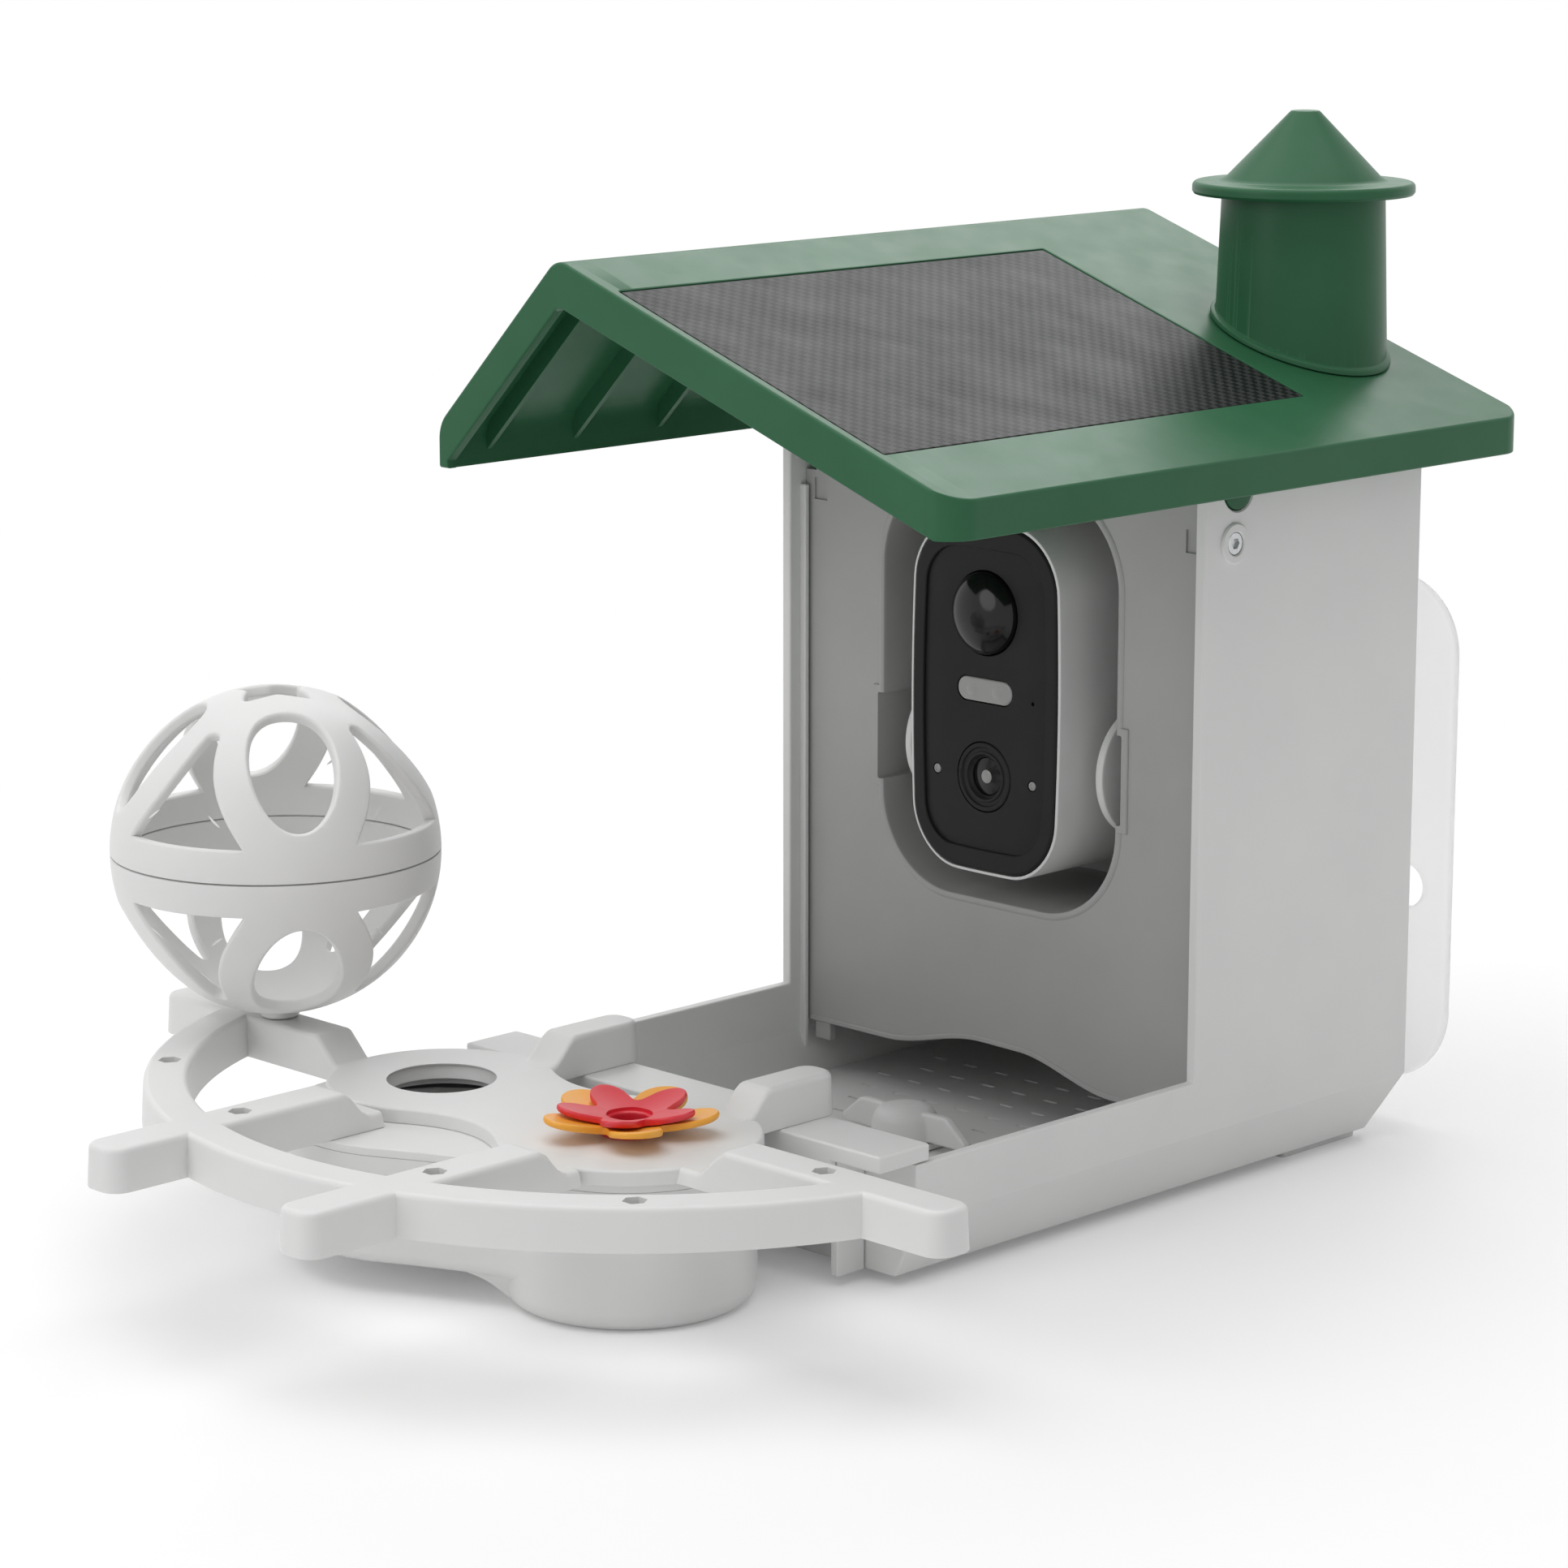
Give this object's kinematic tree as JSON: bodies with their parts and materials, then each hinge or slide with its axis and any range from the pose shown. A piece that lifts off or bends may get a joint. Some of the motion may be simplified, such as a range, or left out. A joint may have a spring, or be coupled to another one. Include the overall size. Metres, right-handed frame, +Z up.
{
  "type": "smart bird feeder",
  "caption": "House-shaped bird feeder with a hinged solar roof, filler chimney, tilting camera in a seed hopper, wheel-shaped perch, nectar bowl, flower and nesting ball.",
  "frame": {"origin": "centre of the bounding box seen from above, on the ground under the feet and the bowl's cup", "axes": "+Z up, -Y towards the perch wheel, +Y towards the wall plate, +X towards the side with the filler chimney"},
  "size_m": [0.2816, 0.377, 0.2753],
  "materials": {
    "white_plastic": "fine satin moulding",
    "frosted_plastic": "frosted, lets light through",
    "grey_plastic": "fine satin moulding",
    "green_plastic": "satin moulding",
    "solar_cells": "dark woven pattern under a clear skin",
    "black_plastic": "satin black",
    "dark_window": "polished, almost black",
    "light_cover": "smoked, polished",
    "steel": "plated",
    "brass": "plain",
    "rubber": "matt",
    "board": "lacquered",
    "cell_wrap": "shrunk sleeve",
    "orange_petal": "satin moulding",
    "red_petal": "satin moulding"
  },
  "bodies": {
    "housing": {"housing_shell": "white_plastic", "hopper_panel": "grey_plastic", "floor_liner": "white_plastic", "panel_screw_left": "steel", "panel_screw_right": "steel", "wall_plate": "frosted_plastic", "hanger_block": "white_plastic", "plate_screw_1": "steel", "plate_screw_2": "steel", "plate_screw_3": "steel", "plate_screw_4": "steel", "knob_stud": "steel", "foot_front_left": "white_plastic", "foot_front_right": "white_plastic", "foot_rear_left": "white_plastic", "foot_rear_right": "white_plastic"},
    "roof": {"roof_shell": "green_plastic", "solar_panel": "solar_cells", "filler_chimney": "green_plastic", "roof_pivot_left": "green_plastic", "roof_pivot_right": "green_plastic"},
    "cap": {"chimney_cap": "green_plastic"},
    "camera": {"camera_cradle": "white_plastic", "camera_shell": "white_plastic", "camera_face": "black_plastic", "sensor_dome": "dark_window", "light_window": "light_cover", "lens_bezel": "black_plastic", "lens_glass": "dark_window", "light_sensor": "light_cover", "status_light": "light_cover", "camera_back": "white_plastic", "camera_screw": "steel", "circuit_board": "board", "battery_cell": "cell_wrap"},
    "wheel": {"wheel_bracket": "white_plastic", "perch_wheel": "white_plastic", "bracket_screw_left": "steel", "bracket_screw_right": "steel", "nectar_bowl": "white_plastic", "bowl_lid": "white_plastic", "bowl_seal": "rubber"},
    "knob": {"wing_knob": "white_plastic", "knob_insert": "brass"},
    "ball": {"ball_lower": "white_plastic"},
    "ball_top": {"ball_upper": "white_plastic"},
    "flower": {"lower_petals": "orange_petal", "upper_petals": "red_petal"}
  },
  "joints": [
    {"name": "roof_tilt", "type": "hinge", "parent": "housing", "child": "roof", "pos_m": [0, 0.0909, 0.1855], "axis": [1, 0, 0], "range_deg": [0, 60]},
    {"name": "cap_lift", "type": "slide", "parent": "roof", "child": "cap", "axis": [0, 0, 1], "range_m": [0, 0.03]},
    {"name": "camera_tilt", "type": "hinge", "parent": "housing", "child": "camera", "pos_m": [0, 0.1027, 0.1052], "axis": [1, 0, 0], "range_deg": [-8, 8]},
    {"name": "wheel_lift", "type": "slide", "parent": "housing", "child": "wheel", "axis": [0, 0, 1], "range_m": [0, 0.045]},
    {"name": "knob_turn", "type": "hinge", "parent": "wheel", "child": "knob", "pos_m": [0, 0.0489, 0.0125], "axis": [0, 0, 1], "continuous": true},
    {"name": "ball_lift", "type": "slide", "parent": "wheel", "child": "ball", "axis": [0, 0, 1], "range_m": [0, 0.03]},
    {"name": "ball_open", "type": "slide", "parent": "ball", "child": "ball_top", "axis": [0, 0, 1], "range_m": [0, 0.04]},
    {"name": "flower_lift", "type": "slide", "parent": "wheel", "child": "flower", "axis": [0, 0, 1], "range_m": [0, 0.03]}
  ]
}
